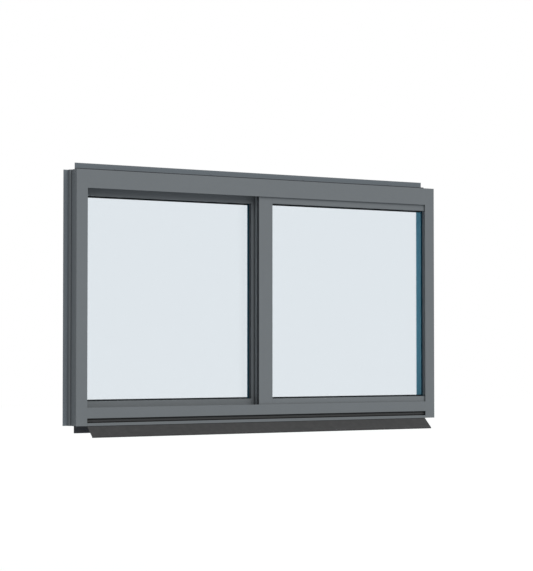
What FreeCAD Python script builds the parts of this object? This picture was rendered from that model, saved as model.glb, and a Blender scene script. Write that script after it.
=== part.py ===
"""Horizontal sliding window with two sashes on two tracks, in millimetres.

The frame is four hollow extrusions with fixing fins. Each sash is four hollow
extrusions round a double-glazed unit, and rides on rollers along a capped rail.
X runs along the sill, Y runs from outside to inside, and Z is up. The origin is
on the back face of the sill fin, at the middle of its row of screws.
"""
import FreeCAD, Part
import Sketcher
import os

os.makedirs("parts", exist_ok=True)

Vector = FreeCAD.Vector
HALF_TURN = FreeCAD.Rotation(Vector(0, 1, 0), 180)

DIMENSIONS = {
    # Frame, overall
    "frame_width": 1690,
    "frame_height": 970,
    "frame_depth": 108,
    "skin": 2,
    # Fixing fins, set back from the front face
    "fin_setback": 63,
    "fin_skin": 2,
    "jamb_fin": 25,
    "cross_fin": 29,
    "fin_notch": 22.4,
    "root_rise": 7.5,
    "root_depth": 18,
    "screw_hole": 2,
    "jamb_screw_out": 16,
    "jamb_screw_inset": 120,
    "cross_screw_rise": 14,
    "outer_screw_span": 1300,
    "middle_screw_span": 440,
    # Jambs
    "jamb_face": 47,
    "jamb_box": 12,
    "jamb_rib": 9,
    "rib_skin": 2,
    # Head
    "head_face": 70,
    "head_box": 30,
    "head_rib": 56,
    "head_apron": 62,
    # Sill
    "sill_face": 69,
    "sill_deck": 40,
    "sill_strip": 10.7,
    "slot_top": 28.6,
    "slot_depth": 20,
    "sill_upstand": 72,
    "rail_rise": 10,
    "rail_skin": 2.5,
    "cap_skin": 0.8,
    "liner_skin": 3,
    "liner_rib": 8,
    "liner_rise": 6,
    "liner_drop": 0.8,
    # Drip below the sill
    "drip_reach": 40,
    "drip_drop": 39,
    "drip_skin": 2,
    "drip_flange": 30,
    "drip_lip": 4,
    "drip_tuck": 3,
    "drip_clear": 1,
    # Sash, overall
    "sash_depth": 38,
    "face_gap": 5,
    "sash_gap": 6,
    "side_gap": 5,
    "sash_skin": 2,
    "lock_stile": 25,
    "meeting_stile": 64,
    "meeting_lap": 28,
    "stile_gap": 6,
    "top_sight": 25.2,
    "top_hide": 7,
    "bottom_sight": 22.3,
    "skirt": 45.3,
    "rail_box": 20.5,
    "tongue_rise": 25,
    "tongue_width": 16,
    "stile_groove": 12,
    "groove_width": 14,
    "edge_groove": 9,
    "edge_groove_width": 14,
    "edge_groove_lip": 2.5,
    "rebate": 6,
    "rebate_depth": 7,
    "seal_slot": 5,
    "seal_inset": 17,
    # Glazing
    "lip_depth": 19,
    "outside_gasket": 3,
    "pane": 3,
    "air_space": 6,
    "inside_gasket": 2,
    "pocket": 12,
    "bite": 10,
    "inside_drop": 5.5,
    "gasket_sight": 6.2,
    "gasket_tip": 0.8,
    "gasket_grip": 6,
    "gasket_peek": 1,
    "gasket_joint": 0.2,
    "spacer_width": 10,
    # Rollers and guides
    "roller_radius": 8.5,
    "roller_flange": 1.5,
    "roller_width": 10,
    "roller_side": 0.6,
    "roller_gap": 0.3,
    "axle_radius": 3,
    "roller_inset": 70,
    "guide_width": 14,
    "guide_length": 20,
    "guide_rise": 22,
    # Stops, lock and pull
    "buffer_skin": 3,
    "buffer_edge": 6,
    "buffer_inset": 3,
    "lock_height": 470,
    "lock_inset": 17,
    "lock_plate_width": 26,
    "lock_plate_height": 78,
    "lock_plate_skin": 4,
    "lock_plate_round": 10,
    "lock_boss": 11,
    "lock_boss_rise": 6,
    "cam_radius": 22,
    "cam_skin": 6,
    "lever_hub": 20,
    "lever_tip": 12,
    "lever_length": 62,
    "lever_heel": 12,
    "lever_skin": 9,
    "lever_round": 5,
    "keeper_width": 7,
    "keeper_height": 54,
    "keeper_skin": 1,
    "pull_length": 130,
    "pull_width": 15,
    "pull_skin": 2,
    "pull_rise": 12,
    "pull_inset": 3,
}

doc = FreeCAD.newDocument("sliding_window")
sheet = doc.addObject("Spreadsheet::Sheet", "Dims")
PARTS = []


def fill_sheet():
    """Write each driving dimension to its own aliased cell."""
    for row, (alias, value) in enumerate(DIMENSIONS.items(), start=1):
        sheet.set(f"A{row}", alias)
        sheet.set(f"B{row}", str(value))
        sheet.setAlias(f"B{row}", alias)
    doc.recompute()


def bound(expression):
    """Return an expression with each alias named as a cell of the sheet."""
    words = expression.replace("(", " ( ").replace(")", " ) ").split()
    return " ".join(f"Dims.{word}" if word in DIMENSIONS else word for word in words)


def value_of(expression):
    """Return the present value of an expression."""
    return float(sheet.evalExpression(bound(expression)))


def bind(feature, name, expression):
    """Bind one property of a feature to an expression of the sheet."""
    feature.setExpression(name, bound(expression))


def place(feature, x, y, z, turned=False):
    """Place a feature, half turned about Y where it is the mirror of its twin."""
    if turned:
        feature.Placement = FreeCAD.Placement(Vector(0, 0, 0), HALF_TURN)
    bind(feature, "Placement.Base.x", x)
    bind(feature, "Placement.Base.y", y)
    bind(feature, "Placement.Base.z", z)


def keep(feature, label):
    """Label a finished sub-part and list it for export."""
    feature.Label = label
    PARTS.append(feature)
    return feature


def fix_point(sketch, geometry, position, point, tag):
    """Tie one sketch point to the sheet by its distances from the origin."""
    for axis, expression in zip("XY", point):
        index = sketch.addConstraint(
            Sketcher.Constraint(f"Distance{axis}", -1, 1, geometry, position, value_of(expression))
        )
        sketch.renameConstraint(index, f"{tag}{axis}")
        bind(sketch, f"Constraints.{tag}{axis}", expression)


def draw_loop(sketch, points, tag):
    """Draw one closed outline whose corners are expressions of the sheet."""
    corners = [Vector(value_of(x), value_of(y), 0) for x, y in points]
    first = sketch.GeometryCount
    count = len(corners)
    for number in range(count):
        sketch.addGeometry(Part.LineSegment(corners[number], corners[(number + 1) % count]))
    for number in range(count):
        following = first + (number + 1) % count
        sketch.addConstraint(Sketcher.Constraint("Coincident", first + number, 2, following, 1))
    for number, point in enumerate(points):
        fix_point(sketch, first + number, 1, point, f"{tag}{number}")


def draw_circle(sketch, centre, radius, tag):
    """Draw one circle whose centre and radius are expressions of the sheet."""
    middle = Vector(value_of(centre[0]), value_of(centre[1]), 0)
    index = sketch.addGeometry(Part.Circle(middle, Vector(0, 0, 1), value_of(radius)))
    number = sketch.addConstraint(Sketcher.Constraint("Radius", index, value_of(radius)))
    sketch.renameConstraint(number, f"{tag}Radius")
    bind(sketch, f"Constraints.{tag}Radius", radius)
    fix_point(sketch, index, 3, centre, tag)


def new_sketch(body, plane, name):
    """Start a sketch on one of the body's own origin planes."""
    sketch = body.newObject("Sketcher::SketchObject", name)
    support = next(item for item in body.Origin.OriginFeatures if item.Role == plane)
    sketch.AttachmentSupport = [(support, "")]
    sketch.MapMode = "FlatFace"
    return sketch


def padded(label, plane, loops, length, centred=False):
    """Make a body by padding a profile of one or more closed outlines."""
    body = doc.addObject("PartDesign::Body", label)
    sketch = new_sketch(body, plane, f"{label}_profile")
    for number, points in enumerate(loops):
        draw_loop(sketch, points, f"loop{number}_")
    pad = body.newObject("PartDesign::Pad", f"{label}_pad")
    pad.Profile = sketch
    if centred:
        pad.SideType = "Symmetric"
    bind(pad, "Length", length)
    doc.recompute()
    return body


def extrusion(label, plane, loops, length, centred=False):
    """Make a padded body that is a sub-part of its own."""
    return keep(padded(label, plane, loops, length, centred), label)


def add_rib(body, plane, points, start, length):
    """Pad one more outline onto a body, from a bound distance above the plane."""
    name = f"{body.Label}_rib"
    sketch = new_sketch(body, plane, f"{name}_profile")
    draw_loop(sketch, points, "loop")
    bind(sketch, "AttachmentOffset.Base.z", start)
    pad = body.newObject("PartDesign::Pad", name)
    pad.Profile = sketch
    bind(pad, "Length", length)
    doc.recompute()


def round_corners(body, radius):
    """Round the corners of a body that was padded along Y."""
    solid = body.Tip
    edges = enumerate(solid.Shape.Edges, start=1)
    upright = [f"Edge{number}" for number, edge in edges if abs(edge.tangentAt(0).y) > 0.9]
    fillet = body.newObject("PartDesign::Fillet", f"{body.Label}_round")
    fillet.Base = (solid, upright)
    bind(fillet, "Radius", radius)
    doc.recompute()


def cut_through(body, plane, loops=(), circles=()):
    """Cut outlines and round holes right through a body, square to a plane."""
    name = f"{body.Label}_cut"
    sketch = new_sketch(body, plane, f"{name}_profile")
    for number, points in enumerate(loops):
        draw_loop(sketch, points, f"loop{number}_")
    for number, (centre, radius) in enumerate(circles):
        draw_circle(sketch, centre, radius, f"hole{number}_")
    pocket = body.newObject("PartDesign::Pocket", name)
    pocket.Profile = sketch
    pocket.Type = "ThroughAll"
    pocket.SideType = "Symmetric"
    doc.recompute()


def rectangle(left, right, low, high):
    """Return the corners of a rectangle."""
    return [(left, low), (right, low), (right, high), (left, high)]


def box(name, size, corner):
    """Make a box of bound size at a bound corner."""
    solid = doc.addObject("Part::Box", name)
    for side, expression in zip(("Length", "Width", "Height"), size):
        bind(solid, side, expression)
    place(solid, *corner)
    return solid


def compound(label, solids):
    """Make one sub-part of like solids that don't touch."""
    group = doc.addObject("Part::Compound", label)
    group.Links = solids
    return keep(group, label)


# Places that several pieces share

HALF = "frame_width / 2"
BASE = "cross_screw_rise"
FRONT = "0 - fin_setback"
ROOT = "fin_setback - fin_skin - root_depth"
FIN = "fin_setback - fin_skin"
BACK_WALL = "skin + face_gap + 2 * sash_depth + 2 * sash_gap"
OUTER_FACE = "skin + face_gap"
INNER_FACE = "skin + face_gap + sash_depth + sash_gap"
OUTER_TRACK = f"{OUTER_FACE} + sash_depth / 2"
INNER_TRACK = f"{INNER_FACE} + sash_depth / 2"
BODY_TOP = "frame_height - head_face + top_hide"
TOP_EDGE = "frame_height - head_face - top_sight"
BOTTOM_EDGE = "sill_face + bottom_sight"
STILE_LOW = "sill_deck + rail_rise + stile_gap"
CLEAR_TOP = f"{BODY_TOP} - side_gap"
CLEAR_HEIGHT = f"{CLEAR_TOP} - ( {STILE_LOW} )"
LOCK_END = f"{HALF} - jamb_box - side_gap"
LOCK_EDGE = f"{LOCK_END} - lock_stile"
MEETING_EDGE = "meeting_stile - meeting_lap"
RAIL_LENGTH = f"{LOCK_EDGE} - ( {MEETING_EDGE} )"
GLASS_FRONT = "lip_depth + outside_gasket"
GLASS_BACK = f"{GLASS_FRONT} + 2 * pane + air_space"
POCKET_BACK = f"{GLASS_BACK} + inside_gasket"


def root_and_fin(rise, fin):
    """Return the outline of the hollow root and the fin behind it, as (depth, out) pairs."""
    return [
        ("fin_setback", "0"),
        ("fin_setback", fin),
        (FIN, fin),
        (FIN, rise),
        (ROOT, rise),
        (ROOT, "0"),
    ]


def root_hollow(sign, wall):
    """Return the part of a hollow that runs into the fin's root, as (depth, out) pairs."""
    return [
        (FIN, wall),
        (FIN, f"{sign} ( root_rise - skin )"),
        (f"{ROOT} + skin", f"{sign} ( root_rise - skin )"),
        (f"{ROOT} + skin", wall),
    ]


def jamb_loops():
    """Return the jamb's profile, a thin box with a front face and a fin."""
    fin = [(out, depth) for depth, out in root_and_fin("0 - root_rise", "0 - jamb_fin")]
    outline = [
        ("0", "0"),
        ("jamb_face", "0"),
        ("jamb_face", "skin"),
        ("jamb_box", "skin"),
        ("jamb_box", "frame_depth"),
        ("0", "frame_depth"),
        *fin,
    ]
    hollow = [
        ("skin", "skin"),
        ("jamb_box - skin", "skin"),
        ("jamb_box - skin", "frame_depth - skin"),
        ("skin", "frame_depth - skin"),
        *[(out, depth) for depth, out in root_hollow("0 -", "skin")],
    ]
    return [outline, hollow]


def make_jambs():
    """Make the two jambs, each with a rib for its sash and a row of screw holes in its fin."""
    heights = ("jamb_screw_inset", "frame_height / 2", "frame_height - jamb_screw_inset")
    holes = [(("0 - jamb_screw_out", height), "screw_hole") for height in heights]
    for label, track, turned in (("left_jamb", INNER_TRACK, False), ("right_jamb", OUTER_TRACK, True)):
        jamb = extrusion(label, "XY_Plane", jamb_loops(), "frame_height")
        near, far = f"{track} - rib_skin / 2", f"{track} + rib_skin / 2"
        rib = rectangle("jamb_box - skin / 2", "jamb_box + jamb_rib", near, far)
        start = f"frame_height - ( {CLEAR_TOP} )" if turned else STILE_LOW
        add_rib(jamb, "XY_Plane", rib, start, CLEAR_HEIGHT)
        cut_through(jamb, "XZ_Plane", circles=holes)
        side = HALF if turned else f"0 - {HALF}"
        low = f"{BASE} + frame_height" if turned else BASE
        place(jamb, side, FRONT, low, turned)


def end_cuts(low, high):
    """Return the cuts that clear the jambs' faces and fins at both ends of a cross member."""
    inner = f"{HALF} - jamb_face"
    end = f"{HALF} - jamb_box + skin"
    faces = [
        rectangle(inner, end, "0 - skin", "skin"),
        rectangle(f"0 - ( {end} )", f"0 - ( {inner} )", "0 - skin", "skin"),
    ]
    fin = f"{HALF} - fin_notch"
    fins = [
        rectangle(fin, end, low, high),
        rectangle(f"0 - ( {end} )", f"0 - ( {fin} )", low, high),
    ]
    return faces, fins


def trim_cross_member(body, low, high, screw_height):
    """Notch the ends of the head or sill and drill its fin."""
    faces, fins = end_cuts(low, high)
    spans = ("outer_screw_span / 2", "middle_screw_span / 2")
    places = [sign + span for span in spans for sign in ("", "0 - ")]
    circles = [((x, screw_height), "screw_hole") for x in places]
    cut_through(body, "XY_Plane", loops=faces)
    cut_through(body, "XZ_Plane", loops=fins, circles=circles)


CROSS_LENGTH = "frame_width - 2 * jamb_box"


def make_head():
    """Make the head, a hollow box with a front face, a middle rib and an apron inside."""
    rib = f"{INNER_FACE} - sash_gap / 2"
    outline = [
        ("0", "0"),
        ("0", "0 - head_face"),
        ("skin", "0 - head_face"),
        ("skin", "0 - head_box"),
        (f"{rib} - skin / 2", "0 - head_box"),
        (f"{rib} - skin / 2", "0 - head_rib"),
        (f"{rib} + skin / 2", "0 - head_rib"),
        (f"{rib} + skin / 2", "0 - head_box"),
        (BACK_WALL, "0 - head_box"),
        (BACK_WALL, "0 - head_apron"),
        (f"{BACK_WALL} + skin", "0 - head_apron"),
        (f"{BACK_WALL} + skin", "0 - head_box"),
        ("frame_depth", "0 - head_box"),
        ("frame_depth", "0"),
        *root_and_fin("root_rise", "cross_fin"),
    ]
    hollow = [
        ("skin", "0 - skin"),
        ("skin", "skin - head_box"),
        ("frame_depth - skin", "skin - head_box"),
        ("frame_depth - skin", "0 - skin"),
        *root_hollow("", "0 - skin"),
    ]
    head = extrusion("head", "YZ_Plane", [outline, hollow], CROSS_LENGTH, centred=True)
    trim_cross_member(head, "0", "cross_fin + skin", "cross_screw_rise")
    place(head, "0", FRONT, f"{BASE} + frame_height")


def rail_on_deck(track):
    """Return the outline of one rail standing on the sill's deck."""
    near, far = f"{track} - rail_skin / 2", f"{track} + rail_skin / 2"
    top = "sill_deck + rail_rise"
    return [(near, "sill_deck"), (near, top), (far, top), (far, "sill_deck")]


def make_sill():
    """Make the sill, a hollow box with a slot in its face, two rails and an upstand inside."""
    outline = [
        ("0", "0"),
        ("0", "sill_strip"),
        ("slot_depth", "sill_strip"),
        ("slot_depth", "slot_top"),
        ("0", "slot_top"),
        ("0", "sill_face"),
        ("skin", "sill_face"),
        ("skin", "sill_deck"),
        *rail_on_deck(OUTER_TRACK),
        *rail_on_deck(INNER_TRACK),
        (BACK_WALL, "sill_deck"),
        (BACK_WALL, "sill_upstand"),
        (f"{BACK_WALL} + skin", "sill_upstand"),
        (f"{BACK_WALL} + skin", "sill_deck"),
        ("frame_depth", "sill_deck"),
        ("frame_depth", "0"),
        *root_and_fin("0 - root_rise", "0 - cross_fin"),
    ]
    hollow = [
        ("skin", "skin"),
        ("skin", "sill_strip - skin"),
        ("slot_depth + skin", "sill_strip - skin"),
        ("slot_depth + skin", "slot_top + skin"),
        ("skin", "slot_top + skin"),
        ("skin", "sill_deck - skin"),
        ("frame_depth - skin", "sill_deck - skin"),
        ("frame_depth - skin", "skin"),
        *root_hollow("0 -", "skin"),
    ]
    sill = extrusion("sill", "YZ_Plane", [outline, hollow], CROSS_LENGTH, centred=True)
    trim_cross_member(sill, "0 - cross_fin - skin", "0", "0 - cross_screw_rise")
    place(sill, "0", FRONT, BASE)


def make_sill_fittings():
    """Make the rail caps, the liner in the sill's slot and the drip below it."""
    for label, track in (("outer_rail_cap", OUTER_TRACK), ("inner_rail_cap", INNER_TRACK)):
        near, far = f"{track} - rail_skin / 2", f"{track} + rail_skin / 2"
        top = "sill_deck + rail_rise"
        outline = [
            (f"{near} - cap_skin", "sill_deck"),
            (near, "sill_deck"),
            (near, top),
            (far, top),
            (far, "sill_deck"),
            (f"{far} + cap_skin", "sill_deck"),
            (f"{far} + cap_skin", f"{top} + cap_skin"),
            (f"{near} - cap_skin", f"{top} + cap_skin"),
        ]
        cap = extrusion(label, "YZ_Plane", [outline], CROSS_LENGTH, centred=True)
        place(cap, "0", FRONT, BASE)
    middle = "( sill_strip + slot_top ) / 2 - liner_drop"
    face = "slot_depth - liner_skin"
    outline = [
        ("slot_depth", "sill_strip"),
        ("slot_depth", "slot_top"),
        (face, "slot_top"),
        (face, f"{middle} + liner_rib / 2"),
        (f"{face} - liner_rise", f"{middle} + liner_rib / 2"),
        (f"{face} - liner_rise", f"{middle} - liner_rib / 2"),
        (face, f"{middle} - liner_rib / 2"),
        (face, "sill_strip"),
    ]
    liner = extrusion("slot_liner", "YZ_Plane", [outline], CROSS_LENGTH, centred=True)
    place(liner, "0", FRONT, BASE)
    outline = [
        ("drip_tuck", "0"),
        ("drip_flange", "0"),
        ("drip_flange", "0 - drip_skin"),
        ("drip_tuck + drip_skin / 2", "0 - drip_skin"),
        ("drip_skin - drip_reach", "0 - drip_drop"),
        ("drip_skin - drip_reach", "0 - drip_drop - drip_lip"),
        ("0 - drip_reach", "0 - drip_drop - drip_lip"),
        ("0 - drip_reach", "0 - drip_drop + drip_skin / 2"),
    ]
    length = "frame_width - 2 * jamb_face - 2 * drip_clear"
    drip = extrusion("sill_drip", "YZ_Plane", [outline], length, centred=True)
    place(drip, "0", FRONT, BASE)


def make_buffers():
    """Make the rubber strip that stops each sash at the far jamb."""
    start = "sill_upstand + buffer_edge"
    for label, near, far, turned in (
        ("left_buffer", f"{OUTER_FACE} + buffer_edge", f"{OUTER_FACE} + sash_depth - buffer_edge", False),
        ("right_buffer", f"{INNER_FACE} + buffer_edge", "frame_depth - buffer_inset", True),
    ):
        outline = [
            ("0", near),
            ("buffer_skin", f"{near} + buffer_skin / 2"),
            ("buffer_skin", far),
            ("0", far),
        ]
        strip = extrusion(label, "XY_Plane", [outline], f"{CLEAR_TOP} - ( {start} )")
        side = f"{HALF} - jamb_box" if turned else f"0 - ( {HALF} - jamb_box )"
        low = f"{BASE} + {CLEAR_TOP}" if turned else f"{BASE} + {start}"
        place(strip, side, FRONT, low, turned)


def lock_stile_loops():
    """Return the lock stile's profile: a groove for the jamb's rib and a pocket for the glass."""
    near, far = "( sash_depth - groove_width ) / 2", "( sash_depth + groove_width ) / 2"
    web = "stile_groove + sash_skin"
    outline = [
        ("0", "0"),
        ("lock_stile", "0"),
        ("lock_stile", "lip_depth"),
        (web, "lip_depth"),
        (web, POCKET_BACK),
        ("lock_stile - inside_drop", POCKET_BACK),
        ("lock_stile - inside_drop", "sash_depth"),
        ("0", "sash_depth"),
        ("0", far),
        ("stile_groove", far),
        ("stile_groove", near),
        ("0", near),
    ]
    front = [
        ("sash_skin", "sash_skin"),
        ("lock_stile - sash_skin", "sash_skin"),
        ("lock_stile - sash_skin", "lip_depth - sash_skin"),
        (web, "lip_depth - sash_skin"),
        (web, f"{near} - sash_skin"),
        ("sash_skin", f"{near} - sash_skin"),
    ]
    back = rectangle("sash_skin", "stile_groove", f"{far} + sash_skin", "sash_depth - sash_skin")
    return [outline, front, back]


def meeting_stile_loops(outside):
    """Return the meeting stile's profile, with a long groove in its free edge.

    The outside stile has a rebate behind that edge. The inside stile has a slot for
    a seal in its front face.
    """
    start = "meeting_stile - pocket"
    low = "edge_groove_lip" if outside else "sash_depth - edge_groove_lip - edge_groove_width"
    high = f"{low} + edge_groove_width"
    behind = "edge_groove + sash_skin"
    glass_edge = [
        ("meeting_stile", "0"),
        ("meeting_stile", "lip_depth"),
        (start, "lip_depth"),
        (start, POCKET_BACK),
        ("meeting_stile - inside_drop", POCKET_BACK),
        ("meeting_stile - inside_drop", "sash_depth"),
    ]
    glass_side = [
        ("meeting_stile - sash_skin", "sash_skin"),
        ("meeting_stile - sash_skin", "lip_depth - sash_skin"),
        (f"{start} - sash_skin", "lip_depth - sash_skin"),
        (f"{start} - sash_skin", "sash_depth - sash_skin"),
    ]
    groove = [
        ("0", high),
        ("edge_groove", high),
        ("edge_groove", low),
        ("0", low),
    ]
    if outside:
        shoulder = "sash_depth - rebate_depth"
        rebate = [
            ("rebate", "sash_depth"),
            ("rebate", shoulder),
            ("0", shoulder),
        ]
        outline = [("0", "0"), *glass_edge, *rebate, *groove]
        hollow = [
            *glass_side,
            ("rebate + sash_skin", "sash_depth - sash_skin"),
            ("rebate + sash_skin", f"{shoulder} - sash_skin"),
            ("sash_skin", f"{shoulder} - sash_skin"),
            ("sash_skin", f"{high} + sash_skin"),
            (behind, f"{high} + sash_skin"),
            (behind, "sash_skin"),
        ]
    else:
        slot_edge = "meeting_stile - seal_inset - seal_slot"
        slot = [
            (slot_edge, "0"),
            (slot_edge, "seal_slot"),
            ("meeting_stile - seal_inset", "seal_slot"),
            ("meeting_stile - seal_inset", "0"),
        ]
        outline = [("0", "0"), *slot, *glass_edge, ("0", "sash_depth"), *groove]
        hollow = [
            (f"{slot_edge} - sash_skin", "sash_skin"),
            (f"{slot_edge} - sash_skin", "seal_slot + sash_skin"),
            ("meeting_stile - seal_inset + sash_skin", "seal_slot + sash_skin"),
            ("meeting_stile - seal_inset + sash_skin", "sash_skin"),
            *glass_side,
            (behind, "sash_depth - sash_skin"),
            (behind, f"{low} - sash_skin"),
            ("sash_skin", f"{low} - sash_skin"),
            ("sash_skin", "sash_skin"),
        ]
    return [outline, hollow]


def bottom_rail_loops():
    """Return the bottom rail's profile, whose skirts straddle the rollers."""
    outline = [
        ("0", "0"),
        ("lip_depth", "0"),
        ("lip_depth", "0 - pocket"),
        (POCKET_BACK, "0 - pocket"),
        (POCKET_BACK, "0 - inside_drop"),
        ("sash_depth", "0 - inside_drop"),
        ("sash_depth", "0 - skirt"),
        ("sash_depth - sash_skin", "0 - skirt"),
        ("sash_depth - sash_skin", "0 - rail_box"),
        ("sash_skin", "0 - rail_box"),
        ("sash_skin", "0 - skirt"),
        ("0", "0 - skirt"),
    ]
    hollow = [
        ("sash_skin", "0 - sash_skin"),
        ("lip_depth - sash_skin", "0 - sash_skin"),
        ("lip_depth - sash_skin", "0 - pocket - sash_skin"),
        ("sash_depth - sash_skin", "0 - pocket - sash_skin"),
        ("sash_depth - sash_skin", "sash_skin - rail_box"),
        ("sash_skin", "sash_skin - rail_box"),
    ]
    return [outline, hollow]


def top_rail_loops():
    """Return the top rail's profile, with a tongue that runs in the head."""
    rise = "top_sight + top_hide"
    tip = f"{rise} + tongue_rise"
    near, far = "( sash_depth - tongue_width ) / 2", "( sash_depth + tongue_width ) / 2"
    outline = [
        ("0", "0"),
        ("0", rise),
        (near, rise),
        (near, tip),
        (far, tip),
        (far, rise),
        ("sash_depth", rise),
        ("sash_depth", "inside_drop"),
        (POCKET_BACK, "inside_drop"),
        (POCKET_BACK, "pocket"),
        ("lip_depth", "pocket"),
        ("lip_depth", "0"),
    ]
    hollow = [
        ("sash_skin", "sash_skin"),
        ("sash_skin", f"{rise} - sash_skin"),
        (f"{near} + sash_skin", f"{rise} - sash_skin"),
        (f"{near} + sash_skin", f"{tip} - sash_skin"),
        (f"{far} - sash_skin", f"{tip} - sash_skin"),
        (f"{far} - sash_skin", f"{rise} - sash_skin"),
        ("sash_depth - sash_skin", f"{rise} - sash_skin"),
        ("sash_depth - sash_skin", "pocket + sash_skin"),
        ("lip_depth - sash_skin", "pocket + sash_skin"),
        ("lip_depth - sash_skin", "sash_skin"),
    ]
    return [outline, hollow]


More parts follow.
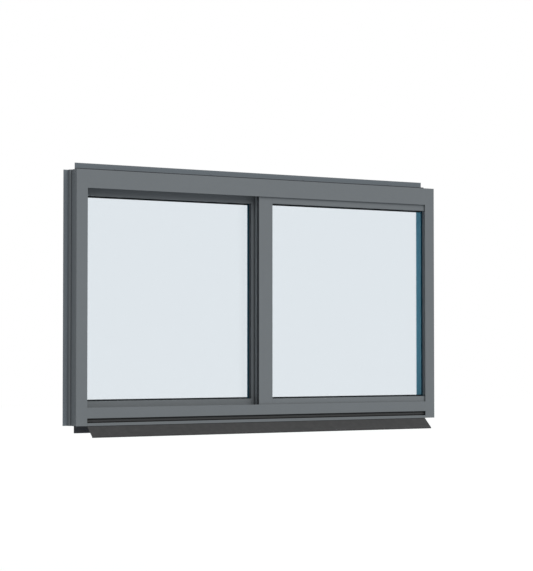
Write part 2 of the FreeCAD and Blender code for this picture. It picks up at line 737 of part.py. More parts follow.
class Sash:
    """One sash: its extrusions, glazing, rollers and guides."""

    def __init__(self, name, face, left, lock_on_right):
        self.name = name
        self.depth = f"{FRONT} + {face}"
        self.left = left
        self.lock_on_right = lock_on_right

    def make(self):
        """Make every piece of the sash."""
        self.make_stiles()
        self.make_rails()
        self.make_panes()
        self.make_gaskets()
        self.make_rollers()
        self.make_guides()

    def make_stiles(self):
        """Make the lock stile and the meeting stile."""
        height = f"{BODY_TOP} - ( {STILE_LOW} )"
        low, high = f"{BASE} + {STILE_LOW}", f"{BASE} + {BODY_TOP}"
        lock = extrusion(f"{self.name}_lock_stile", "XY_Plane", lock_stile_loops(), height)
        loops = meeting_stile_loops(self.lock_on_right)
        meeting = extrusion(f"{self.name}_meeting_stile", "XY_Plane", loops, height)
        if self.lock_on_right:
            place(lock, LOCK_END, self.depth, high, turned=True)
            place(meeting, "0 - meeting_lap", self.depth, low)
        else:
            place(lock, f"0 - ( {LOCK_END} )", self.depth, low)
            place(meeting, "meeting_lap", self.depth, high, turned=True)

    def make_rails(self):
        """Make the top and bottom rails, butted between the stiles."""
        top = extrusion(f"{self.name}_top_rail", "YZ_Plane", top_rail_loops(), RAIL_LENGTH)
        place(top, self.left, self.depth, f"{BASE} + {TOP_EDGE}")
        bottom = extrusion(f"{self.name}_bottom_rail", "YZ_Plane", bottom_rail_loops(), RAIL_LENGTH)
        place(bottom, self.left, self.depth, f"{BASE} + {BOTTOM_EDGE}")

    def make_panes(self):
        """Make the two panes and the spacer between them."""
        size = (f"{RAIL_LENGTH} + 2 * bite", "pane", f"{TOP_EDGE} - ( {BOTTOM_EDGE} ) + 2 * bite")
        x, z = f"{self.left} - bite", f"{BASE} + {BOTTOM_EDGE} - bite"
        outside = f"{self.depth} + {GLASS_FRONT}"
        inside = f"{outside} + pane + air_space"
        keep(box(f"{self.name}_outside_pane", size, (x, outside, z)), f"{self.name}_outside_pane")
        keep(box(f"{self.name}_inside_pane", size, (x, inside, z)), f"{self.name}_inside_pane")
        around = box(
            f"{self.name}_spacer_outer",
            (f"{RAIL_LENGTH} + 2 * bite - 2 * sash_skin", "air_space", f"{size[2]} - 2 * sash_skin"),
            (f"{x} + sash_skin", f"{outside} + pane", f"{z} + sash_skin"),
        )
        inset = "sash_skin + spacer_width"
        within = box(
            f"{self.name}_spacer_inner",
            (f"{size[0]} - 2 * ( {inset} )", "air_space", f"{size[2]} - 2 * ( {inset} )"),
            (f"{x} + {inset}", f"{outside} + pane", f"{z} + {inset}"),
        )
        ring = doc.addObject("Part::Cut", f"{self.name}_spacer")
        ring.Base = around
        ring.Tool = within
        keep(ring, f"{self.name}_spacer")

    def make_gaskets(self):
        """Make the wedge gaskets outside the glass and the flat ones inside it.

        A section is drawn as (inward, depth) pairs.
        """
        wedge = [
            ("0 - gasket_grip", "0"),
            ("0", "0"),
            ("gasket_sight", "outside_gasket - gasket_tip"),
            ("gasket_sight", "outside_gasket"),
            ("0 - gasket_grip", "outside_gasket"),
        ]
        outside = f"{self.depth} + lip_depth"
        self.make_gasket(f"{self.name}_outside_gasket", wedge, outside, "gasket_grip", "gasket_sight")
        peek = "( gasket_peek - inside_drop )"
        flat = rectangle("0 - bite", peek, "0", "inside_gasket")
        inside = f"{self.depth} + {GLASS_BACK}"
        self.make_gasket(f"{self.name}_inside_gasket", flat, inside, "bite", peek)

    def make_gasket(self, label, loop, depth, grip, sight):
        """Make the four strips of one gasket, the upright ones running past the others."""
        tall = f"{TOP_EDGE} - ( {BOTTOM_EDGE} )"
        low, high = f"{BASE} + {BOTTOM_EDGE}", f"{BASE} + {TOP_EDGE}"
        right = f"{self.left} + {RAIL_LENGTH}"
        across = f"{RAIL_LENGTH} - 2 * {sight} - 2 * gasket_joint"
        begin = f"{self.left} + {sight} + gasket_joint"
        upright = f"{tall} + 2 * {grip}"
        strips = []
        for number, (x, z, turned) in enumerate((
            (self.left, f"{low} - {grip}", False),
            (right, f"{high} + {grip}", True),
        )):
            strips.append(padded(f"{label}_upright_{number}", "XY_Plane", [loop], upright))
            place(strips[-1], x, depth, z, turned)
        flipped = [(y, x) for x, y in loop]
        for number, (x, z, points) in enumerate((
            (begin, low, flipped),
            (begin, high, [(y, f"0 - ( {rise} )") for y, rise in flipped]),
        )):
            strips.append(padded(f"{label}_across_{number}", "YZ_Plane", [points], across))
            place(strips[-1], x, depth, z)
        compound(label, strips)

    def make_rollers(self):
        """Make the two grooved rollers on their axles, seated between the rail's skirts."""
        middle = "sash_depth / 2"
        rim = "roller_radius + roller_flange"
        edge, seat = "roller_width / 2", "( rail_skin / 2 + cap_skin + roller_side )"
        groove = f"( {seat} + roller_flange / 2 )"
        outline = [
            ("0", "sash_skin"),
            ("axle_radius", "sash_skin"),
            ("axle_radius", f"{middle} - {edge}"),
            (rim, f"{middle} - {edge}"),
            (rim, f"{middle} - {groove}"),
            ("roller_radius", f"{middle} - {seat}"),
            ("roller_radius", f"{middle} + {seat}"),
            (rim, f"{middle} + {groove}"),
            (rim, f"{middle} + {edge}"),
            ("axle_radius", f"{middle} + {edge}"),
            ("axle_radius", "sash_depth - sash_skin"),
            ("0", "sash_depth - sash_skin"),
        ]
        height = f"{BASE} + sill_deck + rail_rise + cap_skin + roller_gap + roller_radius"
        rollers = []
        for number, x in enumerate(("roller_inset", f"{RAIL_LENGTH} - roller_inset")):
            body = doc.addObject("PartDesign::Body", f"{self.name}_roller_{number}")
            sketch = new_sketch(body, "XY_Plane", f"{self.name}_roller_profile_{number}")
            draw_loop(sketch, outline, "loop")
            turn = body.newObject("PartDesign::Revolution", f"{self.name}_roller_turn_{number}")
            turn.Profile = sketch
            turn.ReferenceAxis = (sketch, ["V_Axis"])
            turn.Angle = 360
            doc.recompute()
            place(body, f"{self.left} + {x}", self.depth, height)
            rollers.append(body)
        compound(f"{self.name}_rollers", rollers)

    def make_guides(self):
        """Make the guide blocks on the stiles, which run in the head."""
        size = ("guide_length", "guide_width", "guide_rise")
        depth = f"{self.depth} + ( sash_depth - guide_width ) / 2"
        height = f"{BASE} + {BODY_TOP}"
        lock_inset = "( lock_stile - guide_length ) / 2"
        meeting_inset = "( meeting_stile - guide_length ) / 2"
        if self.lock_on_right:
            lock_x = f"{LOCK_END} - {lock_inset} - guide_length"
            meeting_x = f"{meeting_inset} - meeting_lap"
        else:
            lock_x = f"{lock_inset} - ( {LOCK_END} )"
            meeting_x = f"meeting_lap - {meeting_inset} - guide_length"
        blocks = [
            box(f"{self.name}_guide_{number}", size, (x, depth, height))
            for number, x in enumerate((lock_x, meeting_x))
        ]
        compound(f"{self.name}_guides", blocks)


def round_pin(name, radius, length, place_at):
    """Make a round pin that points inwards along Y."""
    pin = doc.addObject("Part::Cylinder", name)
    pin.Placement = FreeCAD.Placement(Vector(0, 0, 0), FreeCAD.Rotation(Vector(1, 0, 0), -90))
    bind(pin, "Radius", radius)
    bind(pin, "Height", length)
    place(pin, *place_at)
    return pin


def fused(label, first, second):
    """Join two solids into one sub-part."""
    whole = doc.addObject("Part::Fuse", label)
    whole.Base = first
    whole.Tool = second
    return keep(whole, label)


def make_lock():
    """Make the crescent lock inside the inner sash, its keeper and the pull."""
    face = f"{FRONT} + {INNER_FACE} + sash_depth"
    middle = "meeting_lap - lock_inset"
    height = f"{BASE} + lock_height"
    half_width, half_height = "lock_plate_width / 2", "lock_plate_height / 2"
    outline = rectangle(f"0 - {half_width}", half_width, f"0 - {half_height}", half_height)
    plate = padded("lock_plate", "XZ_Plane", [outline], "lock_plate_skin")
    round_corners(plate, "lock_plate_round")
    place(plate, middle, f"{face} + lock_plate_skin", height)
    rise = "lock_plate_skin + lock_boss_rise"
    boss = round_pin("lock_boss_pin", "lock_boss", rise, (middle, face, height))
    fused("lock_base", plate, boss)
    front = f"{face} + {rise}"
    cam = round_pin("lock_cam", "cam_radius", "cam_skin", (middle, front, height))
    cam.Placement.Rotation = FreeCAD.Rotation(Vector(0, 1, 0), 90) * cam.Placement.Rotation
    cam.Angle = 180
    outline = [
        ("0 - lever_hub / 2", "lever_heel"),
        ("0 - lever_tip / 2", "0 - lever_length"),
        ("lever_tip / 2", "0 - lever_length"),
        ("lever_hub / 2", "lever_heel"),
    ]
    arm = padded("lock_arm", "XZ_Plane", [outline], "lever_skin")
    round_corners(arm, "lever_round")
    place(arm, middle, f"{front} + lever_skin", height)
    fused("lock_lever", cam, arm)
    keeper = box(
        "lock_keeper",
        ("keeper_width", "keeper_skin", "keeper_height"),
        (
            "meeting_lap - keeper_width",
            f"{FRONT} + {OUTER_FACE} + sash_depth",
            f"{height} - keeper_height / 2",
        ),
    )
    keep(keeper, "lock_keeper")
    outline = [
        ("0", "0"),
        ("pull_width", "0"),
        ("pull_width", "pull_rise"),
        ("pull_width - pull_skin", "pull_rise"),
        ("pull_width - pull_skin", "pull_skin"),
        ("0", "pull_skin"),
    ]
    pull = extrusion("inner_pull", "XY_Plane", [outline], "pull_length")
    place(pull, f"pull_inset - ( {LOCK_END} )", face, f"{height} - pull_length / 2")


def export():
    """Check each sub-part and write its solid."""
    doc.recompute()
    for item in doc.Objects:
        faults = [state for state in item.State if state in ("Invalid", "Error")]
        if faults:
            raise RuntimeError(f"{item.Label} is {faults}")
    for item in PARTS:
        shape = item.Shape
        if shape.isNull() or not shape.isValid() or not shape.Solids:
            raise RuntimeError(f"{item.Label} has no valid solid")
        shape.exportStep(f"parts/{item.Label}.step")


fill_sheet()
make_jambs()
make_head()
make_sill()
make_sill_fittings()
make_buffers()
Sash("outer", OUTER_FACE, MEETING_EDGE, lock_on_right=True).make()
Sash("inner", INNER_FACE, f"0 - ( {LOCK_EDGE} )", lock_on_right=False).make()
make_lock()
export()
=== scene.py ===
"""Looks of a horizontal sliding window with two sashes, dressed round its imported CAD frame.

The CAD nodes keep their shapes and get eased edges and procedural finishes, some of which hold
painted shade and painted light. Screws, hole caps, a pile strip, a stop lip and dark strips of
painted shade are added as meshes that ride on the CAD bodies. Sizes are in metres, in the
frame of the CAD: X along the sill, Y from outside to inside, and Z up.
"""

import logging
import math
import random
from dataclasses import dataclass, field
from enum import Enum

import bmesh
import bpy
from mathutils import Matrix, Vector


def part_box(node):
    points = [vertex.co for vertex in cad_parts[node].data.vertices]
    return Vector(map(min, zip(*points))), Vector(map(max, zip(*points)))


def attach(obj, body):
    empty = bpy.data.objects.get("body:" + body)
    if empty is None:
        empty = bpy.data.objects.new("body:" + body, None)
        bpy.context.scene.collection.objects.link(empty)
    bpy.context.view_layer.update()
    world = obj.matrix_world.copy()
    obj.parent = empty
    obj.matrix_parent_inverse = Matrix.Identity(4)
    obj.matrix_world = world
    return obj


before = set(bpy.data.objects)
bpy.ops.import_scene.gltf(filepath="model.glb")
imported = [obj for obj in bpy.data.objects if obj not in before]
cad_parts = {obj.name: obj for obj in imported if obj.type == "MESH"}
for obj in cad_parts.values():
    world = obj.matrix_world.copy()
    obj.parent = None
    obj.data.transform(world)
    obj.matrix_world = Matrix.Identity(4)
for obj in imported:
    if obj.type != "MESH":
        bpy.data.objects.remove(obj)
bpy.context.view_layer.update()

log = logging.getLogger("sliding_window")

Colour = tuple[float, float, float]
Pair = tuple[float, float]
Socket = bpy.types.NodeSocket
NodeTree = bpy.types.NodeTree
Mesh = bmesh.types.BMesh

WELD_REACH = 0.00001
NOISE_MIDDLE = 0.5
COAT_GREY: Colour = (0.161, 0.173, 0.178)
BLANK = (0.2, 0.2, 0.2, 1.0)


class Body(Enum):
    """The CAD bodies that pieces ride on."""

    CASING = "frame"
    OUTER_SASH = "outer_sash"
    INNER_SASH = "inner_sash"


class Slot(Enum):
    """The record's material slots."""

    FRAME_PAINT = "frame_paint"
    SASH_PAINT = "sash_paint"
    DARK_TRIM = "dark_trim"
    GASKET = "gasket_rubber"
    BUFFER = "buffer_rubber"
    RAIL_STEEL = "rail_steel"
    GLASS = "clear_glass"
    SPACER = "spacer_metal"
    NYLON = "roller_plastic"
    LOCK = "lock_metal"


class Side(Enum):
    """The left and right of the window, seen from outside, as directions along X."""

    LEFT = -1
    RIGHT = 1


class Edge(Enum):
    """The widths of eased edges."""

    SHARP = 0.0
    FINE = 0.0002
    SLIM = 0.0003
    TRIM = 0.0004
    PLAIN = 0.0005
    SOFT = 0.0006
    ROUND = 0.0008


class Graph:
    """A node tree with short calls that add and join nodes."""

    def __init__(self, tree: NodeTree) -> None:
        """Keep the tree that the calls work on."""
        self.tree = tree

    @classmethod
    def emptied(cls, holder: bpy.types.Material | bpy.types.World) -> "Graph":
        """Return the graph of a material or world, with its first nodes removed."""
        holder.use_nodes = True
        holder.node_tree.nodes.clear()
        return cls(holder.node_tree)

    def add(self, kind: str, inputs: dict | None = None, **settings: object) -> bpy.types.Node:
        """Add a node.

        Args:
            kind: The node's type without its ShaderNode prefix.
            inputs: Values or sockets for its inputs, by name or number.
            settings: The node's own properties.

        Returns:
            The new node.
        """
        node = self.tree.nodes.new(f"ShaderNode{kind}")
        for name, value in settings.items():
            setattr(node, name, value)
        self.fill(node, inputs or {})
        return node

    def fill(self, node: bpy.types.Node, inputs: dict) -> None:
        """Set a node's inputs, linking the ones that are given as sockets."""
        for key, value in inputs.items():
            if isinstance(value, Socket):
                self.tree.links.new(value, node.inputs[key])
            else:
                node.inputs[key].default_value = value

    def math(self, operation: str, first: object, second: object = 0.0) -> Socket:
        """Return the result of a Math node on two values or sockets."""
        return self.add("Math", {0: first, 1: second}, operation=operation).outputs[0]

    def product(self, first: object, *others: object) -> Socket:
        """Return the product of two or more values."""
        for other in others:
            first = self.math("MULTIPLY", first, other)
        return first

    def plus(self, base: object, value: object, share: object) -> Socket:
        """Return a base value plus a share of another value."""
        return self.math("ADD", base, self.product(value, share))

    def blend(self, first: Socket, second: Socket, share: float) -> Socket:
        """Return a mean of two values, in which the first has the given share."""
        return self.plus(self.product(first, share), second, 1.0 - share)

    def swing(self, noise: Socket, amount: object) -> Socket:
        """Return a noise that swings round zero by an amount."""
        return self.product(self.math("SUBTRACT", noise, NOISE_MIDDLE), amount)

    def dot(self, first: object, second: object) -> Socket:
        """Return the dot product of two vectors."""
        return self.add("VectorMath", {0: first, 1: second}, operation="DOT_PRODUCT").outputs["Value"]

    def ramp(self, value: object, low: float, high: float, start: object, end: object) -> Socket:
        """Map a value from one range to another, and hold it there.

        Args:
            value: The socket to map.
            low: The value that becomes start.
            high: The value that becomes end.
            start: The result at and below low.
            end: The result at and above high.

        Returns:
            The mapped value.
        """
        node = self.add("MapRange", {0: value, 1: low, 2: high, 3: start, 4: end}, clamp=True)
        return node.outputs[0]

    def scaled(self, colour: object, factor: object) -> Socket:
        """Return a colour or vector multiplied by a value."""
        return self.add("VectorMath", {0: colour, "Scale": factor}, operation="SCALE").outputs[0]

    def mixed(self, factor: object, first: object, second: object) -> Socket:
        """Return a colour between two colours."""
        return self.add("Mix", {0: factor, 6: first, 7: second}, data_type="RGBA").outputs[2]

    def place(self) -> Socket:
        """Return the Object coordinates."""
        return self.add("TexCoord").outputs["Object"]

    def stretched(self, scale: tuple[float, float, float]) -> Socket:
        """Return the Object coordinates with a scale for each axis."""
        return self.add("Mapping", {"Vector": self.place(), "Scale": scale}).outputs[0]

    def noise(self, scale: object, detail: float = 2.0, place: Socket | None = None) -> Socket:
        """Return noise of a scale per metre, from 0 to 1."""
        inputs = {"Vector": place or self.place(), "Scale": scale, "Detail": detail}
        return self.add("TexNoise", inputs).outputs[0]

    def bump(self, height: Socket, strength: float, depth: float) -> Socket:
        """Return the normal that a height gives.

        Args:
            height: The height, from 0 to 1.
            strength: The share of the effect.
            depth: The height's full range in metres.

        Returns:
            The normal.
        """
        return self.add("Bump", {"Strength": strength, "Distance": depth, "Height": height}).outputs["Normal"]

    def group(self, tree: NodeTree, inputs: dict) -> bpy.types.Node:
        """Place a shared effect with its own values."""
        node = self.tree.nodes.new("ShaderNodeGroup")
        node.node_tree = tree
        self.fill(node, inputs)
        return node


@dataclass
class Effects:
    """The node groups that several finishes share, each built once, with scales per metre."""

    speck_ratio: float = 2.7
    peel_share: float = 0.75
    broad_scale: float = 2.1
    broad_share: float = 0.6
    cloud_scale: float = 34.0
    drift_gain: float = 4.0
    gloss_swing: float = 0.22
    edge_turn: Pair = (0.995, 0.8)
    worn_scale: float = 210.0
    worn_range: Pair = (0.35, 0.7)
    worn_least: float = 0.25
    dust_slope: float = 0.25
    dust_scale: float = 46.0
    dust_range: Pair = (0.3, 0.75)
    dust_least: float = 0.15
    dust_dulling: float = 0.5
    line_stretch: float = 0.012
    line_range: Pair = (0.45, 1.05)
    line_tones: Pair = (0.82, 1.12)
    line_swing: float = 0.3
    tarnish_scale: float = 18.0
    tarnish_share: float = 0.5
    bloom_scale: float = 27.0
    bloom_range: Pair = (0.4, 0.8)
    bloom_colour: Colour = (0.3, 0.32, 0.33)
    bloom_dulling: float = 0.12
    rubber_tone: float = 0.9
    rubber_swing: float = 0.2
    wipe_stretch: float = 0.35
    smear_scale: float = 9.0
    smear_range: Pair = (0.45, 0.8)
    coat_grain: NodeTree = field(init=False)
    edge_light: NodeTree = field(init=False)
    settled_dust: NodeTree = field(init=False)
    drawn_lines: NodeTree = field(init=False)
    moulded_grain: NodeTree = field(init=False)
    pane_film: NodeTree = field(init=False)

    def __post_init__(self) -> None:
        """Build every group."""
        self.coat_grain = self.build_coat_grain()
        self.edge_light = self.build_edge_light()
        self.settled_dust = self.build_settled_dust()
        self.drawn_lines = self.build_drawn_lines()
        self.moulded_grain = self.build_moulded_grain()
        self.pane_film = self.build_pane_film()

    @staticmethod
    def open_group(
        name: str, inputs: dict[str, object], outputs: list[str],
    ) -> tuple[Graph, bpy.types.Node, bpy.types.Node]:
        """Start a node group.

        Args:
            name: The group's name.
            inputs: The inputs' names and first values, a tuple for a colour.
            outputs: The outputs' names. Colour is a colour and the others are numbers.

        Returns:
            The group's graph, its input node and its output node.
        """
        tree = bpy.data.node_groups.new(name, "ShaderNodeTree")
        for label, value in inputs.items():
            kind = "NodeSocketColor" if isinstance(value, tuple) else "NodeSocketFloat"
            socket = tree.interface.new_socket(label, in_out="INPUT", socket_type=kind)
            socket.default_value = value
        for label in outputs:
            kind = "NodeSocketColor" if label == "Colour" else "NodeSocketFloat"
            tree.interface.new_socket(label, in_out="OUTPUT", socket_type=kind)
        entry = tree.nodes.new("NodeGroupInput")
        leave = tree.nodes.new("NodeGroupOutput")
        return Graph(tree), entry, leave

    def build_coat_grain(self) -> NodeTree:
        """Build the fine peel of a sprayed coat, with its drift in tone and gloss."""
        inputs = {"Colour": BLANK, "Roughness": 0.5, "Grain": 900.0, "Drift": 0.05}
        graph, entry, leave = self.open_group("Coat grain", inputs, ["Colour", "Roughness", "Height"])
        peel = graph.noise(entry.outputs["Grain"])
        speck = graph.noise(graph.product(entry.outputs["Grain"], self.speck_ratio), detail=1.0)
        broad = graph.noise(self.broad_scale, detail=3.0)
        cloud = graph.noise(self.cloud_scale, detail=4.0)
        drift = graph.swing(graph.blend(broad, cloud, self.broad_share), entry.outputs["Drift"])
        tone = graph.plus(1.0, drift, self.drift_gain)
        sheen = graph.swing(cloud, self.gloss_swing)
        graph.fill(leave, {
            "Colour": graph.scaled(entry.outputs["Colour"], tone),
            "Roughness": graph.math("ADD", entry.outputs["Roughness"], sheen),
            "Height": graph.blend(peel, speck, self.peel_share),
        })
        return graph.tree

    def build_edge_light(self) -> NodeTree:
        """Build the faint paler line that handling leaves along a coated edge."""
        inputs = {"Colour": BLANK, "Edge": (0.4, 0.4, 0.4, 1.0), "Amount": 0.2, "Width": 0.0012}
        graph, entry, leave = self.open_group("Edge light", inputs, ["Colour"])
        rounded = graph.add("Bevel", {"Radius": entry.outputs["Width"]}, samples=4).outputs[0]
        facing = graph.dot(rounded, graph.add("NewGeometry").outputs["Normal"])
        bend = graph.ramp(facing, *self.edge_turn, 0.0, 1.0)
        worn = graph.noise(self.worn_scale, detail=4.0)
        broken = graph.ramp(worn, *self.worn_range, self.worn_least, 1.0)
        mask = graph.product(bend, broken, entry.outputs["Amount"])
        graph.fill(leave, {"Colour": graph.mixed(mask, entry.outputs["Colour"], entry.outputs["Edge"])})
        return graph.tree

    def build_settled_dust(self) -> NodeTree:
        """Build the thin dust that lies on faces that look up."""
        inputs = {"Colour": BLANK, "Roughness": 0.5, "Dust": (0.42, 0.4, 0.37, 1.0), "Amount": 0.1}
        graph, entry, leave = self.open_group("Settled dust", inputs, ["Colour", "Roughness"])
        normal = graph.add("SeparateXYZ", {0: graph.add("NewGeometry").outputs["Normal"]})
        upward = graph.ramp(normal.outputs["Z"], self.dust_slope, 1.0, 0.0, 1.0)
        lying = graph.noise(self.dust_scale, detail=6.0)
        patch = graph.ramp(lying, *self.dust_range, self.dust_least, 1.0)
        mask = graph.product(upward, patch, entry.outputs["Amount"])
        graph.fill(leave, {
            "Colour": graph.mixed(mask, entry.outputs["Colour"], entry.outputs["Dust"]),
            "Roughness": graph.plus(entry.outputs["Roughness"], mask, self.dust_dulling),
        })
        return graph.tree

    def build_drawn_lines(self) -> NodeTree:
        """Build the fine lines that drawing or brushing leaves along X in bare metal."""
        inputs = {"Colour": BLANK, "Roughness": 0.3, "Lines": 1400.0}
        graph, entry, leave = self.open_group("Drawn lines", inputs, ["Colour", "Roughness", "Height"])
        along = graph.stretched((self.line_stretch, 1.0, 1.0))
        lines = graph.noise(entry.outputs["Lines"], detail=3.0, place=along)
        tarnish = graph.noise(self.tarnish_scale, detail=3.0)
        marked = graph.plus(lines, tarnish, self.tarnish_share)
        tone = graph.ramp(marked, *self.line_range, *self.line_tones)
        swing = graph.swing(lines, self.line_swing)
        graph.fill(leave, {
            "Colour": graph.scaled(entry.outputs["Colour"], tone),
            "Roughness": graph.math("ADD", entry.outputs["Roughness"], swing),
            "Height": lines,
        })
        return graph.tree

    def build_moulded_grain(self) -> NodeTree:
        """Build the dull grain of moulded rubber and plastic, with pale bloom in patches."""
        inputs = {"Colour": BLANK, "Roughness": 0.6, "Grain": 1600.0, "Bloom": 0.1}
        graph, entry, leave = self.open_group("Moulded grain", inputs, ["Colour", "Roughness", "Height"])
        grain = graph.noise(entry.outputs["Grain"])
        bloom = graph.ramp(graph.noise(self.bloom_scale, detail=5.0), *self.bloom_range, 0.0, 1.0)
        tone = graph.plus(self.rubber_tone, grain, self.rubber_swing)
        rubber = graph.scaled(entry.outputs["Colour"], tone)
        pale = graph.product(bloom, entry.outputs["Bloom"])
        graph.fill(leave, {
            "Colour": graph.mixed(pale, rubber, (*self.bloom_colour, 1.0)),
            "Roughness": graph.plus(entry.outputs["Roughness"], bloom, self.bloom_dulling),
            "Height": grain,
        })
        return graph.tree

    def build_pane_film(self) -> NodeTree:
        """Build the slight wave of a float pane and the film that washing leaves on it."""
        inputs = {"Film": 0.012, "Wave": 3.0}
        graph, entry, leave = self.open_group("Pane film", inputs, ["Roughness", "Height"])
        wipe = graph.stretched((1.0, 1.0, self.wipe_stretch))
        streaks = graph.noise(self.smear_scale, detail=5.0, place=wipe)
        smear = graph.ramp(streaks, *self.smear_range, 0.0, 1.0)
        graph.fill(leave, {
            "Roughness": graph.product(smear, entry.outputs["Film"]),
            "Height": graph.noise(entry.outputs["Wave"], detail=1.0),
        })
        return graph.tree


@dataclass(frozen=True)
class Finish:
    """A surface finish, which becomes one material."""

    name: str
    slot: Slot
    colour: Colour
    roughness: float

    def material(self, effects: Effects) -> bpy.types.Material:
        """Make the material of this finish.

        Args:
            effects: The shared node groups.

        Returns:
            The new material.
        """
        made = bpy.data.materials.new(self.name)
        graph = Graph.emptied(made)
        graph.add("OutputMaterial", {"Surface": self.shade(graph, effects)})
        return made

    def shade(self, graph: Graph, effects: Effects) -> Socket:
        """Return the shader of this finish."""
        raise NotImplementedError


@dataclass(frozen=True)
class CoatFinish(Finish):
    """A satin coat on an extrusion."""

    specular: float = 0.1
    grain: float = 900.0
    grain_depth: float = 0.00006
    grain_strength: float = 0.6
    drift: float = 0.03
    edge: float = 0.12
    edge_keep: float = 0.55
    edge_lift: float = 0.2
    dust: float = 0.05

    def tone(self, graph: Graph) -> object:
        """Return the coat's colour, or a socket where it changes over the surface."""
        return (*self.colour, 1.0)

    def shade(self, graph: Graph, effects: Effects) -> Socket:
        """Return the shader of this finish."""
        coat = graph.group(effects.coat_grain, {
            "Colour": self.tone(graph),
            "Roughness": self.roughness,
            "Grain": self.grain,
            "Drift": self.drift,
        })
        pale = tuple(self.edge_keep * channel + self.edge_lift for channel in self.colour)
        edge = graph.group(effects.edge_light, {
            "Colour": coat.outputs["Colour"],
            "Edge": (*pale, 1.0),
            "Amount": self.edge,
        })
        dust = graph.group(effects.settled_dust, {
            "Colour": edge.outputs["Colour"],
            "Roughness": coat.outputs["Roughness"],
            "Amount": self.dust,
        })
        shader = graph.add("BsdfPrincipled", {
            "Base Color": dust.outputs["Colour"],
            "Roughness": dust.outputs["Roughness"],
            "Specular IOR Level": self.specular,
            "Normal": graph.bump(coat.outputs["Height"], self.grain_strength, self.grain_depth),
        })
        return shader.outputs["BSDF"]


@dataclass(frozen=True)
class FinnedCoatFinish(CoatFinish):
    """A satin coat with painted shade on the fixing fins, which fill a thin layer across Y: there it is a
    little darker and bluer, as the fins look in shade.
    """

    fin_shade_colour: Colour = (0.151, 0.17, 0.184)
    fin_layer: Pair = (-0.0035, 0.0005)

    def tone(self, graph: Graph) -> object:
        """Return the coat's colour, and the fins' painted shade colour inside their layer."""
        depth = graph.add("SeparateXYZ", {0: graph.place()}).outputs["Y"]
        front, back = self.fin_layer
        behind = graph.math("GREATER_THAN", depth, front)
        inside = graph.product(behind, graph.math("LESS_THAN", depth, back))
        # Painted shade: inside the fins' layer the coat takes a darker, bluer colour that stands for the
        # shade on the fins.
        return graph.mixed(inside, (*self.colour, 1.0), (*self.fin_shade_colour, 1.0))


@dataclass(frozen=True)
class FootShadedCoatFinish(FinnedCoatFinish):
    """A coat with painted shade below a height: under it a dark colour stands for the shade that falls under
    the sill.
    """

    foot_shade_colour: Colour = (0.07, 0.072, 0.078)
    shade_line_height: float = 0.0138

    def tone(self, graph: Graph) -> object:
        """Return the coat's colour above the height and the dark painted shade below it."""
        height = graph.add("SeparateXYZ", {0: graph.place()}).outputs["Z"]
        # Painted shade: below the height the coat gives way to a dark colour that stands for the shade under
        # the sill.
        coated = graph.math("GREATER_THAN", height, self.shade_line_height)
        return graph.mixed(coated, (*self.foot_shade_colour, 1.0), super().tone(graph))


@dataclass(frozen=True)
class MouldedFinish(Finish):
    """Moulded rubber or plastic."""

    specular: float = 0.3
    grain: float = 1600.0
    grain_depth: float = 0.00008
    grain_strength: float = 0.5
    bloom: float = 0.05

    def tone(self, graph: Graph) -> object:
        """Return the colour, or a socket where it changes over the surface."""
        return (*self.colour, 1.0)

    def shade(self, graph: Graph, effects: Effects) -> Socket:
        """Return the shader of this finish."""
        grain = graph.group(effects.moulded_grain, {
            "Colour": self.tone(graph),
            "Roughness": self.roughness,
            "Grain": self.grain,
            "Bloom": self.bloom,
        })
        shader = graph.add("BsdfPrincipled", {
            "Base Color": grain.outputs["Colour"],
            "Roughness": grain.outputs["Roughness"],
            "Specular IOR Level": self.specular,
            "Normal": graph.bump(grain.outputs["Height"], self.grain_strength, self.grain_depth),
        })
        return shader.outputs["BSDF"]


@dataclass(frozen=True)
class GasketFinish(MouldedFinish):
    """Black rubber with painted blue-green light on its outer left-facing sides, which stands for light from
    the pane's edge.
    """

    painted_cast_colour: Colour = (0.0, 0.029, 0.05)
    painted_cast_way: tuple[float, float, float] = (-0.95, -0.3, 0.0)
    painted_cast_start: float = 0.45

    def tone(self, graph: Graph) -> object:
        """Return the rubber's colour, and the painted blue-green light where the surface faces its way."""
        facing = graph.dot(graph.add("NewGeometry").outputs["True Normal"], self.painted_cast_way)
        lit = graph.math("GREATER_THAN", facing, self.painted_cast_start)
        # Painted light: the left-facing sides take a blue-green colour that stands for light from the pane's
        # edge.
        return graph.mixed(lit, (*self.colour, 1.0), (*self.painted_cast_colour, 1.0))


@dataclass(frozen=True)
class MetalFinish(Finish):
    """Bare metal with drawn lines along X."""

    lines: float = 1400.0
    line_depth: float = 0.00003
    line_strength: float = 0.5
    dust: float = 0.08

    def shade(self, graph: Graph, effects: Effects) -> Socket:
        """Return the shader of this finish."""
        lines = graph.group(effects.drawn_lines, {
            "Colour": (*self.colour, 1.0),
            "Roughness": self.roughness,
            "Lines": self.lines,
        })
        dust = graph.group(effects.settled_dust, {
            "Colour": lines.outputs["Colour"],
            "Roughness": lines.outputs["Roughness"],
            "Amount": self.dust,
        })
        shader = graph.add("BsdfPrincipled", {
            "Base Color": dust.outputs["Colour"],
            "Roughness": dust.outputs["Roughness"],
            "Metallic": 1.0,
            "Normal": graph.bump(lines.outputs["Height"], self.line_strength, self.line_depth),
        })
        return shader.outputs["BSDF"]


